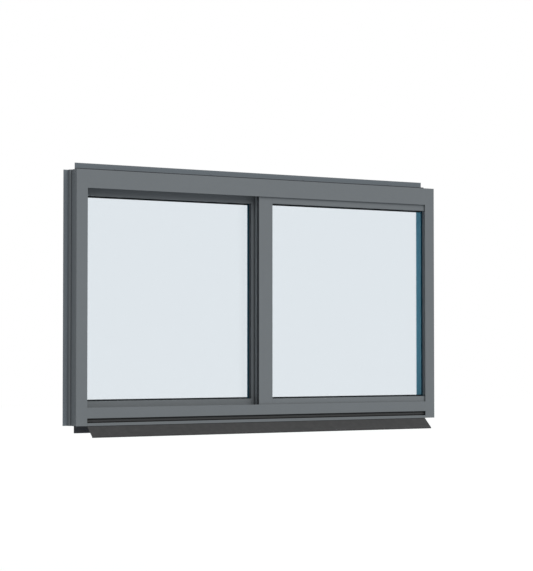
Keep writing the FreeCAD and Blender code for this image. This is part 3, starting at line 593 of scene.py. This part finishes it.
@dataclass(frozen=True)
class GlassFinish(Finish):
    """A clear pane that lets lamp light and bounced light straight through."""

    ior: float = 1.25
    film: float = 0.012
    wave: float = 3.0
    wave_depth: float = 0.00002
    wave_strength: float = 0.2

    def shade(self, graph: Graph, effects: Effects) -> Socket:
        """Return the shader of this finish."""
        film = graph.group(effects.pane_film, {"Film": self.film, "Wave": self.wave})
        pane = graph.add("BsdfPrincipled", {
            "Base Color": (*self.colour, 1.0),
            "Roughness": film.outputs["Roughness"],
            "IOR": self.ior,
            "Transmission Weight": 1.0,
            "Normal": graph.bump(film.outputs["Height"], self.wave_strength, self.wave_depth),
        })
        one_face = tuple(math.sqrt(channel) for channel in self.colour)
        clear = graph.add("BsdfTransparent", {"Color": (*one_face, 1.0)})
        path = graph.add("LightPath")
        passing = graph.math("MAXIMUM", path.outputs["Is Shadow Ray"], path.outputs["Is Diffuse Ray"])
        both = graph.add("MixShader", {0: passing, 1: pane.outputs["BSDF"], 2: clear.outputs["BSDF"]})
        return both.outputs["Shader"]


@dataclass(frozen=True)
class Finishes:
    """Every finish on the window."""

    # The frame's coat carries painted shade on the fins.
    frame_coat: Finish = FinnedCoatFinish("frame_coat", Slot.FRAME_PAINT, COAT_GREY, 0.48)
    # The sill's coat carries painted shade below the sill's underside, on the sill's fin.
    sill_coat: Finish = FootShadedCoatFinish("sill_coat", Slot.FRAME_PAINT, COAT_GREY, 0.48)
    sash_coat: Finish = CoatFinish("sash_coat", Slot.SASH_PAINT, COAT_GREY, 0.46, grain=980.0)
    drip_coat: Finish = CoatFinish(
        "drip_coat", Slot.DARK_TRIM, (0.047, 0.047, 0.047), 0.62, grain=700.0, edge=0.05,
    )
    liner_coat: Finish = CoatFinish(
        "liner_coat", Slot.DARK_TRIM, (0.068, 0.068, 0.067), 0.6, grain=800.0, edge=0.05,
    )
    gasket: Finish = GasketFinish("black_gasket", Slot.GASKET, (0.008, 0.0105, 0.012), 0.6, specular=0.08)
    buffer: Finish = MouldedFinish("blue_stop_rubber", Slot.BUFFER, (0.14, 0.44, 0.57), 0.55, bloom=0.03)
    # Painted shade: dark rubber strips that stand for the shade lines at the fins' roots and between the
    # sashes.
    root_shade_strip: Finish = MouldedFinish(
        "root_shade_strip_rubber", Slot.GASKET, (0.05, 0.052, 0.055), 0.7, specular=0.1,
    )
    shade_strip_rubber: Finish = MouldedFinish(
        "shade_strip_rubber", Slot.GASKET, (0.066, 0.071, 0.076), 0.7, specular=0.1,
    )
    guide: Finish = MouldedFinish("guide_plastic", Slot.DARK_TRIM, (0.045, 0.045, 0.046), 0.5)
    pile: Finish = MouldedFinish(
        "pile_fibre", Slot.GASKET, (0.02, 0.021, 0.022), 0.95, specular=0.05, grain=5200.0,
    )
    nylon: Finish = MouldedFinish("nylon", Slot.NYLON, (0.75, 0.75, 0.72), 0.42, specular=0.5)
    rail_steel: Finish = MetalFinish("drawn_steel", Slot.RAIL_STEEL, (0.55, 0.56, 0.57), 0.3)
    spacer: Finish = MetalFinish(
        "spacer_alloy", Slot.SPACER, (0.12, 0.27, 0.34), 0.42, lines=900.0, dust=0.0,
    )
    lock_coat: Finish = CoatFinish(
        "lock_coat", Slot.LOCK, (0.145, 0.16, 0.17), 0.36, specular=0.45, edge=0.25,
    )
    screw_steel: Finish = MetalFinish(
        "screw_steel", Slot.LOCK, (0.5, 0.5, 0.5), 0.34, lines=2600.0, dust=0.0,
    )
    glass: Finish = GlassFinish("pane_glass", Slot.GLASS, (0.857, 0.888, 0.911), 0.0)


@dataclass
class Dresser:
    """Puts finishes on CAD nodes and makes new pieces."""

    effects: Effects = field(default_factory=Effects)
    finishes: Finishes = field(default_factory=Finishes)
    edge_segments: int = 2
    edge_angle: float = math.radians(35)
    flat_angle: float = math.radians(0.5)
    materials: dict[str, bpy.types.Material] = field(default_factory=dict)

    def material(self, finish: Finish) -> bpy.types.Material:
        """Return a finish's material, made on its first use."""
        if finish.name not in self.materials:
            self.materials[finish.name] = finish.material(self.effects)
        return self.materials[finish.name]

    def dress(self, node: str, finish: Finish, edge: Edge = Edge.PLAIN) -> None:
        """Give a CAD node its finish and ease its edges.

        Args:
            node: The node's name.
            finish: The finish.
            edge: The width of the eased edges.
        """
        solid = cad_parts[node]
        solid.data.materials.clear()
        solid.data.materials.append(self.material(finish))
        if edge is not Edge.SHARP:
            weld = solid.modifiers.new("weld", "WELD")
            weld.merge_threshold = WELD_REACH
            joined = solid.modifiers.new("joined_faces", "DECIMATE")
            joined.decimate_type = "DISSOLVE"
            joined.angle_limit = self.flat_angle
            eased = solid.modifiers.new("eased_edges", "BEVEL")
            eased.width = edge.value
            eased.segments = self.edge_segments
            eased.limit_method = "ANGLE"
            eased.angle_limit = self.edge_angle
            solid.modifiers.new("flat_faces", "WEIGHTED_NORMAL")
        log.info("dressed %s with %s", node, finish.name)

    def piece(self, name: str, mesh: Mesh, finish: Finish, body: Body) -> None:
        """Make an object of a finished mesh and let it ride on a body.

        Args:
            name: The piece's name.
            mesh: The mesh, which is freed.
            finish: The finish.
            body: The CAD body that carries the piece.
        """
        bmesh.ops.recalc_face_normals(mesh, faces=mesh.faces)
        data = bpy.data.meshes.new(name)
        mesh.to_mesh(data)
        mesh.free()
        data.materials.append(self.material(finish))
        made = bpy.data.objects.new(name, data)
        bpy.context.scene.collection.objects.link(made)
        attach(made, body.value)
        log.info("made %s with %d faces", name, len(data.polygons))

    def strip(
        self, name: str, low: Vector, high: Vector, easing: float, finish: Finish, body: Body,
    ) -> None:
        """Make a straight strip with eased edges.

        Args:
            name: The piece's name.
            low: The corner with the lowest coordinates.
            high: The corner with the highest coordinates.
            easing: The width of the eased edges.
            finish: The finish.
            body: The CAD body that carries the piece.
        """
        size = Matrix.Diagonal((*(high - low), 1.0))
        mesh = bmesh.new()
        bmesh.ops.create_cube(mesh, size=1.0, matrix=Matrix.Translation((low + high) / 2) @ size)
        bmesh.ops.bevel(
            mesh, geom=mesh.edges[:], offset=easing, segments=self.edge_segments,
            profile=0.5, affect="EDGES", material=-1,
        )
        self.piece(name, mesh, finish, body)


def aimed(place: Vector, towards: Vector, axis: str = "Z") -> Matrix:
    """Return the matrix that puts a shape at a place and turns an axis of it towards a direction.

    Args:
        place: Where the shape's origin goes.
        towards: The direction.
        axis: The axis that is turned, Z or -Z.

    Returns:
        The matrix.
    """
    return Matrix.Translation(place) @ towards.to_track_quat(axis, "Y").to_matrix().to_4x4()


@dataclass(frozen=True)
class ScrewHead:
    """A round screw head with a cross recess, whose core, arms and dome are shares of its size."""

    radius: float = 0.0038
    rise: float = 0.0018
    recess: float = 0.0012
    sides: int = 20
    core: float = 0.45
    arm: float = 0.1
    dome: tuple[Pair, ...] = ((0.7, 0.93), (0.92, 0.6), (1.0, 0.0))

    def add_to(self, mesh: Mesh, seat: Vector, outward: Vector) -> None:
        """Add one head to a mesh.

        Args:
            mesh: The mesh that gets the head.
            seat: The middle of the face that the head sits on.
            outward: The direction that the head stands up in.
        """
        size = self.radius * self.core
        core = bmesh.ops.create_grid(mesh, x_segments=3, y_segments=3, size=size)["verts"]
        made = list(core)
        bmesh.ops.translate(mesh, verts=core, vec=(0.0, 0.0, self.rise))
        faces = {face for vert in core for face in vert.link_faces}
        edges = [edge for edge in {edge for vert in core for edge in vert.link_edges} if edge.is_boundary]
        near = self.radius * self.arm
        arms = [face for face in faces if min(abs(value) for value in face.calc_center_median().xy) < near]
        for share, height in self.dome:
            ring = bmesh.ops.create_circle(mesh, segments=self.sides, radius=self.radius * share)["verts"]
            bmesh.ops.translate(mesh, verts=ring, vec=(0.0, 0.0, self.rise * height))
            rim = list({edge for vert in ring for edge in vert.link_edges})
            bmesh.ops.bridge_loops(mesh, edges=edges + rim)
            made += ring
            edges = rim
        bmesh.ops.edgeloop_fill(mesh, edges=edges)
        sunk = bmesh.ops.extrude_face_region(mesh, geom=arms)["geom"]
        floor = [item for item in sunk if isinstance(item, bmesh.types.BMVert)]
        bmesh.ops.translate(mesh, verts=floor, vec=(0.0, 0.0, -self.recess))
        bmesh.ops.delete(mesh, geom=arms, context="FACES")
        made += floor
        bmesh.ops.transform(mesh, verts=made, matrix=aimed(seat, outward))


@dataclass(frozen=True)
class HoleCap:
    """A low press-in cap that closes a screw hole in a fin, rounded by shares of its size."""

    radius: float = 0.0036
    rise: float = 0.0009
    stem: float = 0.0019
    length: float = 0.002
    sides: int = 20
    crown: Pair = (0.7, 0.9)
    shoulder: float = 0.35

    def add_to(self, mesh: Mesh, seat: Vector, outward: Vector) -> None:
        """Add one cap to a mesh.

        Args:
            mesh: The mesh that gets the cap.
            seat: The middle of the hole, on the face that the cap sits on.
            outward: The direction that the cap stands up in.
        """
        outline = (
            (0.0, self.rise),
            (self.radius * self.crown[0], self.rise * self.crown[1]),
            (self.radius, self.rise * self.shoulder),
            (self.radius, 0.0),
            (self.stem, 0.0),
            (self.stem, -self.length),
            (0.0, -self.length),
        )
        others = set(mesh.verts)
        points = [mesh.verts.new((across, 0.0, up)) for across, up in outline]
        edges = [mesh.edges.new(pair) for pair in zip(points, points[1:])]
        bmesh.ops.spin(
            mesh, geom=points + edges, cent=(0.0, 0.0, 0.0), axis=(0.0, 0.0, 1.0),
            angle=math.tau, steps=self.sides, use_merge=True,
        )
        made = [vert for vert in mesh.verts if vert not in others]
        bmesh.ops.remove_doubles(mesh, verts=made, dist=WELD_REACH)
        made = [vert for vert in mesh.verts if vert not in others]
        bmesh.ops.transform(mesh, verts=made, matrix=aimed(seat, outward))


@dataclass(frozen=True)
class PileStrip:
    """An upright strip of pile, two rows of tufts on a backing."""

    width: float = 0.0046
    backing: float = 0.0008
    rise: float = 0.0052
    pitch: float = 0.0021
    tuft: float = 0.0012
    taper: float = 0.45
    stagger: float = 0.25
    scatter: float = 0.14
    sides: int = 5
    seed: int = 7

    def build(self, foot: Vector, height: float) -> Mesh:
        """Make the strip's mesh.

        Args:
            foot: The middle of the backing's back face, at its lower end.
            height: The strip's length, along Z.

        Returns:
            The mesh, whose pile points along -Y.
        """
        mesh = bmesh.new()
        back = bmesh.ops.create_grid(mesh, x_segments=2, y_segments=1, size=0.5)["verts"]
        forward = Matrix.Rotation(math.radians(90), 4, "X")
        middle = foot + Vector((0.0, 0.0, height / 2))
        size = Matrix.Diagonal((self.width, height, 1.0, 1.0))
        bmesh.ops.transform(mesh, verts=back, matrix=Matrix.Translation(middle) @ forward @ size)
        raised = bmesh.ops.extrude_face_region(mesh, geom=mesh.faces[:])["geom"]
        front = [item for item in raised if isinstance(item, bmesh.types.BMVert)]
        bmesh.ops.translate(mesh, verts=front, vec=(0.0, -self.backing, 0.0))
        chance = random.Random(self.seed)
        for number in range(int(height / self.pitch)):
            for row in (-1, 1):
                lean = Matrix.Rotation(chance.uniform(-self.scatter, self.scatter), 4, "Z")
                tilt = Matrix.Rotation(chance.uniform(-self.scatter, self.scatter), 4, "X")
                up = (number + 0.5 + self.stagger * row) * self.pitch
                root = foot + Vector((row * self.width / 4, -self.backing - self.rise / 2, up))
                bmesh.ops.create_cone(
                    mesh, cap_ends=True, segments=self.sides, depth=self.rise,
                    radius1=self.tuft, radius2=self.tuft * self.taper,
                    matrix=Matrix.Translation(root) @ lean @ tilt @ forward,
                )
        return mesh


@dataclass
class Casing:
    """The fixed frame: head, sill, jambs, drip, rails and stop strips."""

    dresser: Dresser
    screw: ScrewHead = ScrewHead()
    screw_depths: Pair = (0.022, 0.09)
    head_drop: float = 0.014
    sill_rise: float = 0.02
    cap: HoleCap = HoleCap()
    fin_skin: float = 0.002
    jamb_fin: float = 0.025
    jamb_hole_edge: float = 0.009
    jamb_hole_inset: float = 0.12
    cross_hole_rise: float = 0.014
    cross_hole_spans: Pair = (1.3, 0.44)
    root_rise: float = 0.0075
    root_depth: float = 0.018
    fin_notch: float = 0.0104
    shade_strip_skin: float = 0.0015
    strip_grip: float = 0.0003
    shade_strip_easing: float = 0.0006
    jamb_shade_strip_width: float = 0.0025
    lip_inset: float = 0.0002
    lip_margin: float = 0.0008

    def build(self) -> None:
        """Dress the nodes and add the screws, the fins' caps, the dark strips of painted shade at the fins'
        roots and the stop strip's lip.
        """
        looks = self.dresser.finishes
        for node in ("head", "left_jamb", "right_jamb"):
            self.dresser.dress(node, looks.frame_coat, Edge.SOFT)
        self.dresser.dress("sill", looks.sill_coat, Edge.SOFT)
        self.dresser.dress("sill_drip", looks.drip_coat, Edge.TRIM)
        self.dresser.dress("slot_liner", looks.liner_coat, Edge.TRIM)
        for node in ("outer_rail_cap", "inner_rail_cap"):
            self.dresser.dress(node, looks.rail_steel, Edge.SLIM)
        for node in ("left_buffer", "right_buffer"):
            self.dresser.dress(node, looks.buffer, Edge.SLIM)
        self.add_corner_screws()
        self.add_fin_caps()
        self.add_head_shade_strip()
        self.add_jamb_shade_strips()
        self.add_stop_lip()

    def jamb_side(self, side: Side) -> float:
        """Return the X of a jamb's outer side, behind its fin."""
        low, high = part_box(f"{side.name.lower()}_jamb")
        return (low.x if side is Side.LEFT else high.x) - side.value * self.jamb_fin

    def shade_strip_layer(self) -> Pair:
        """Return the Y of the front and back of the painted shade strips at the fins' roots."""
        back = self.strip_grip - self.fin_skin - self.root_depth
        return back - self.shade_strip_skin - self.strip_grip, back

    def add_corner_screws(self) -> None:
        """Add the screws that hold the head and sill between the jambs."""
        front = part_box("head")[0].y
        low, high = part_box("left_jamb")[0].z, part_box("left_jamb")[1].z
        mesh = bmesh.new()
        for side in Side:
            outward = Vector((side.value, 0.0, 0.0))
            for depth in self.screw_depths:
                for height in (low + self.sill_rise, high - self.head_drop):
                    seat = Vector((self.jamb_side(side), front + depth, height))
                    self.screw.add_to(mesh, seat, outward)
        self.dresser.piece("casing_corner_screws", mesh, self.dresser.finishes.frame_coat, Body.CASING)

    def add_fin_caps(self) -> None:
        """Add the caps that close the fins' screw holes."""
        low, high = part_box("left_jamb")[0].z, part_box("left_jamb")[1].z
        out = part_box("right_jamb")[1].x - self.jamb_hole_edge
        uprights = (low + self.jamb_hole_inset, (low + high) / 2, high - self.jamb_hole_inset)
        levels = (low - self.cross_hole_rise, high + self.cross_hole_rise)
        holes = [(out, height) for height in uprights]
        holes += [(span / 2, height) for span in self.cross_hole_spans for height in levels]
        outward = Vector((0.0, -1.0, 0.0))
        mesh = bmesh.new()
        for across, height in holes:
            for side in Side:
                seat = Vector((side.value * across, -self.fin_skin, height))
                self.cap.add_to(mesh, seat, outward)
        # The caps take the sill's coat, so the caps below the sill get its painted shade too.
        self.dresser.piece("fin_hole_caps", mesh, self.dresser.finishes.sill_coat, Body.CASING)

    def add_head_shade_strip(self) -> None:
        """Add the dark strip of painted shade along the front of the head fin's root, where a shadow line
        falls.
        """
        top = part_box("left_jamb")[1].z
        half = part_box("head")[1].x - self.fin_notch
        front, back = self.shade_strip_layer()
        low = Vector((-half, front, top))
        high = Vector((half, back, top + self.root_rise))
        finish = self.dresser.finishes.root_shade_strip
        self.dresser.strip("head_root_shade_strip", low, high, self.shade_strip_easing, finish, Body.CASING)

    def add_jamb_shade_strips(self) -> None:
        """Add dark strips of painted shade in the corners between the jambs' sides and the roots of their
        fins, where shade falls.
        """
        front, back = self.shade_strip_layer()
        finish = self.dresser.finishes.shade_strip_rubber
        for side in Side:
            jamb = f"{side.name.lower()}_jamb"
            base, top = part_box(jamb)
            face = self.jamb_side(side)
            ends = (face - side.value * self.strip_grip, face + side.value * self.jamb_shade_strip_width)
            low = Vector((min(ends), front, base.z))
            high = Vector((max(ends), back, top.z))
            self.dresser.strip(f"{jamb}_root_shade_strip", low, high, self.shade_strip_easing, finish, Body.CASING)

    def add_stop_lip(self) -> None:
        """Add the lip that carries the right stop strip on to the jamb's inner edge."""
        base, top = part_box("right_buffer")
        low = Vector((base.x + self.lip_inset, top.y - self.strip_grip, base.z))
        high = Vector((top.x + self.strip_grip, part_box("right_jamb")[1].y - self.lip_margin, top.z))
        finish = self.dresser.finishes.buffer
        self.dresser.strip("right_stop_lip", low, high, self.lip_inset, finish, Body.CASING)


@dataclass
class Sash:
    """One sliding sash with its double-glazed unit."""

    dresser: Dresser
    name: str
    body: Body
    lock_side: Side
    screw: ScrewHead = ScrewHead(radius=0.003, rise=0.0014, recess=0.0009)
    groove_middle: float = 0.0095
    groove_depth: float = 0.009
    screw_inset: float = 0.018

    def build(self) -> None:
        """Dress the nodes and add the screws at the ends of the meeting stile."""
        looks = self.dresser.finishes
        for part in ("lock_stile", "meeting_stile", "top_rail", "bottom_rail"):
            self.dresser.dress(f"{self.name}_{part}", looks.sash_coat)
        for part in ("outside_pane", "inside_pane"):
            self.dresser.dress(f"{self.name}_{part}", looks.glass, Edge.SHARP)
        for part in ("outside_gasket", "inside_gasket"):
            self.dresser.dress(f"{self.name}_{part}", looks.gasket, Edge.SLIM)
        self.dresser.dress(f"{self.name}_spacer", looks.spacer, Edge.SLIM)
        self.dresser.dress(f"{self.name}_rollers", looks.nylon, Edge.TRIM)
        self.dresser.dress(f"{self.name}_guides", looks.guide, Edge.SOFT)
        self.add_stile_screws()

    def add_stile_screws(self) -> None:
        """Add the screws in the groove of the meeting stile, which hold the rails."""
        low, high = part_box(f"{self.name}_meeting_stile")
        outward = -self.lock_side.value
        edge = low.x if outward < 0 else high.x
        in_front = self.lock_side is Side.RIGHT
        depth = low.y + self.groove_middle if in_front else high.y - self.groove_middle
        mesh = bmesh.new()
        for height in (low.z + self.screw_inset, high.z - self.screw_inset):
            seat = Vector((edge - outward * self.groove_depth, depth, height))
            self.screw.add_to(mesh, seat, Vector((outward, 0.0, 0.0)))
        finish = self.dresser.finishes.screw_steel
        self.dresser.piece(f"{self.name}_stile_screws", mesh, finish, self.body)


@dataclass
class MeetingSeal:
    """The seals where the sashes meet: a pile strip, and two dark strips of painted shade, on the glazing leg
    and in a groove.
    """

    dresser: Dresser
    pile: PileStrip = PileStrip()
    slot_inset: float = 0.0195
    slot_depth: float = 0.005
    skin: float = 0.0008
    grip: float = 0.0003
    easing: float = 0.0002
    glazing_strip_span: Pair = (0.0041, 0.0186)
    groove_wall: float = 0.0165
    groove_span: Pair = (0.0006, 0.0086)

    def build(self) -> None:
        """Make the pile strip and the two strips of painted shade."""
        self.add_pile()
        self.add_glazing_shade_strip()
        self.add_groove_shade_strip()

    def add_pile(self) -> None:
        """Add the pile in the front slot of the inner stile, along its whole length."""
        low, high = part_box("inner_meeting_stile")
        foot = Vector((low.x + self.slot_inset, low.y + self.slot_depth, low.z))
        mesh = self.pile.build(foot, high.z - low.z)
        self.dresser.piece("inner_meeting_pile", mesh, self.dresser.finishes.pile, Body.INNER_SASH)

    def add_glazing_shade_strip(self) -> None:
        """Add the dark strip of painted shade on the side of the inner stile's glazing leg, between the
        rails, where the outer stile's shade falls.
        """
        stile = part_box("inner_meeting_stile")[0]
        near, far = self.glazing_strip_span
        low = Vector((stile.x - self.skin, stile.y + near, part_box("inner_bottom_rail")[1].z))
        high = Vector((stile.x + self.grip, stile.y + far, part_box("inner_top_rail")[0].z))
        finish = self.dresser.finishes.shade_strip_rubber
        self.dresser.strip("inner_glazing_shade_strip", low, high, self.easing, finish, Body.INNER_SASH)

    def add_groove_shade_strip(self) -> None:
        """Add the dark strip of painted shade on the back wall of the outer stile's side groove."""
        base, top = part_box("outer_meeting_stile")
        near, far = self.groove_span
        wall = base.y + self.groove_wall
        low = Vector((base.x + near, wall - self.skin, base.z))
        high = Vector((base.x + far, wall + self.grip, top.z))
        finish = self.dresser.finishes.shade_strip_rubber
        self.dresser.strip("outer_groove_shade_strip", low, high, self.easing, finish, Body.OUTER_SASH)


@dataclass
class Hardware:
    """The crescent lock, its keeper and the pull."""

    dresser: Dresser
    screw: ScrewHead = ScrewHead(radius=0.0034, rise=0.0014, recess=0.001)
    pivot: ScrewHead = ScrewHead(radius=0.0062, rise=0.0012, recess=0.0008)
    plate_skin: float = 0.004
    pull_skin: float = 0.002
    end_inset: float = 0.008

    def build(self) -> None:
        """Dress the nodes and add their screws and the lever's pivot."""
        looks = self.dresser.finishes
        for node in ("lock_base", "lock_lever"):
            self.dresser.dress(node, looks.lock_coat, Edge.ROUND)
        self.dresser.dress("lock_keeper", looks.rail_steel, Edge.FINE)
        self.dresser.dress("inner_pull", looks.lock_coat)
        self.add_screws()

    def add_screws(self) -> None:
        """Add the screws of the lock's plate and of the pull, and the lever's pivot."""
        inward = Vector((0.0, 1.0, 0.0))
        mesh = bmesh.new()
        for plate, skin in (("lock_base", self.plate_skin), ("inner_pull", self.pull_skin)):
            low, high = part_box(plate)
            for height in (low.z + self.end_inset, high.z - self.end_inset):
                seat = Vector(((low.x + high.x) / 2, low.y + skin, height))
                self.screw.add_to(mesh, seat, inward)
        low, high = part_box("lock_base")
        middle = (low + high) / 2
        seat = Vector((middle.x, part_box("lock_lever")[1].y, middle.z))
        self.pivot.add_to(mesh, seat, inward)
        finish = self.dresser.finishes.screw_steel
        self.dresser.piece("hardware_screws", mesh, finish, Body.INNER_SASH)


@dataclass
class Studio:
    """The camera, the key lamp, the white surroundings and the floor."""

    eye: Vector = field(default_factory=lambda: Vector((-4.0696, -6.4535, 0.3074)))
    yaw: float = math.radians(32.507)
    pitch: float = math.radians(1.895)
    lens: float = 119.44
    sensor: float = 36.0
    key_strength: float = 2.24
    key_azimuth: float = math.radians(4)
    key_elevation: float = math.radians(42)
    key_spread: float = math.radians(62)
    fill: Colour = (0.28, 0.30, 0.325)
    floor_height: float = -0.95
    floor_reach: float = 30.0
    floor_colour: Colour = (0.775, 0.80, 0.83)
    floor_glow: Colour = (0.425, 0.405, 0.358)

    def build(self) -> None:
        """Set up everything round the window."""
        bpy.context.scene.view_settings.view_transform = "Standard"
        self.add_camera()
        self.add_key()
        self.light_world()
        self.add_floor()

    def add_camera(self) -> None:
        """Add the camera at the photograph's viewpoint."""
        data = bpy.data.cameras.new("camera")
        data.lens = self.lens
        data.sensor_width = self.sensor
        camera = bpy.data.objects.new("camera", data)
        level = math.cos(self.pitch)
        ahead = Vector((math.sin(self.yaw) * level, math.cos(self.yaw) * level, math.sin(self.pitch)))
        camera.matrix_world = aimed(self.eye, ahead, "-Z")
        bpy.context.scene.collection.objects.link(camera)
        bpy.context.scene.camera = camera
        log.info("camera at %s", tuple(round(value, 3) for value in self.eye))

    def add_key(self) -> None:
        """Add the broad key lamp, in front of the window and above, a little to the right."""
        data = bpy.data.lights.new("key", "SUN")
        data.energy = self.key_strength
        data.angle = self.key_spread
        lamp = bpy.data.objects.new("key", data)
        level = math.cos(self.key_elevation)
        towards = Vector((
            math.sin(self.key_azimuth) * level,
            -math.cos(self.key_azimuth) * level,
            math.sin(self.key_elevation),
        ))
        lamp.matrix_world = aimed(Vector(), towards)
        bpy.context.scene.collection.objects.link(lamp)

    @staticmethod
    def seen(graph: Graph) -> Socket:
        """Return 1 for rays that show the surroundings themselves."""
        path = graph.add("LightPath")
        mirrored = graph.math("MAXIMUM", path.outputs["Is Glossy Ray"], path.outputs["Is Transmission Ray"])
        return graph.math("MAXIMUM", path.outputs["Is Camera Ray"], mirrored)

    def light_world(self) -> None:
        """Make the world a soft fill that looks plain white."""
        world = bpy.data.worlds.new("studio")
        graph = Graph.emptied(world)
        fill = graph.add("Background", {"Color": (*self.fill, 1.0), "Strength": 1.0})
        white = graph.add("Background", {"Color": (1.0, 1.0, 1.0, 1.0), "Strength": 1.0})
        both = graph.add("MixShader", {0: self.seen(graph), 1: fill.outputs[0], 2: white.outputs[0]})
        graph.add("OutputWorld", {"Surface": both.outputs[0]})
        bpy.context.scene.world = world

    def add_floor(self) -> None:
        """Add the pale floor, which keeps the window's shadow."""
        mesh = bmesh.new()
        bmesh.ops.create_grid(mesh, x_segments=1, y_segments=1, size=self.floor_reach)
        bmesh.ops.translate(mesh, verts=mesh.verts, vec=(0.0, 0.0, self.floor_height))
        data = bpy.data.meshes.new("floor")
        mesh.to_mesh(data)
        mesh.free()
        material = bpy.data.materials.new("floor")
        graph = Graph.emptied(material)
        paint = graph.add("BsdfDiffuse", {"Color": (*self.floor_colour, 1.0)})
        glow = graph.add("Emission", {"Color": (*self.floor_glow, 1.0), "Strength": self.seen(graph)})
        both = graph.add("AddShader", {0: paint.outputs[0], 1: glow.outputs[0]})
        graph.add("OutputMaterial", {"Surface": both.outputs[0]})
        data.materials.append(material)
        floor = bpy.data.objects.new("floor", data)
        bpy.context.scene.collection.objects.link(floor)


def main() -> None:
    """Build the window's looks and the studio round it."""
    logging.basicConfig(level=logging.INFO, format="%(message)s")
    dresser = Dresser()
    Studio().build()
    Casing(dresser).build()
    Sash(dresser, "outer", Body.OUTER_SASH, Side.RIGHT).build()
    Sash(dresser, "inner", Body.INNER_SASH, Side.LEFT).build()
    MeetingSeal(dresser).build()
    Hardware(dresser).build()


if __name__ == "__main__":
    main()
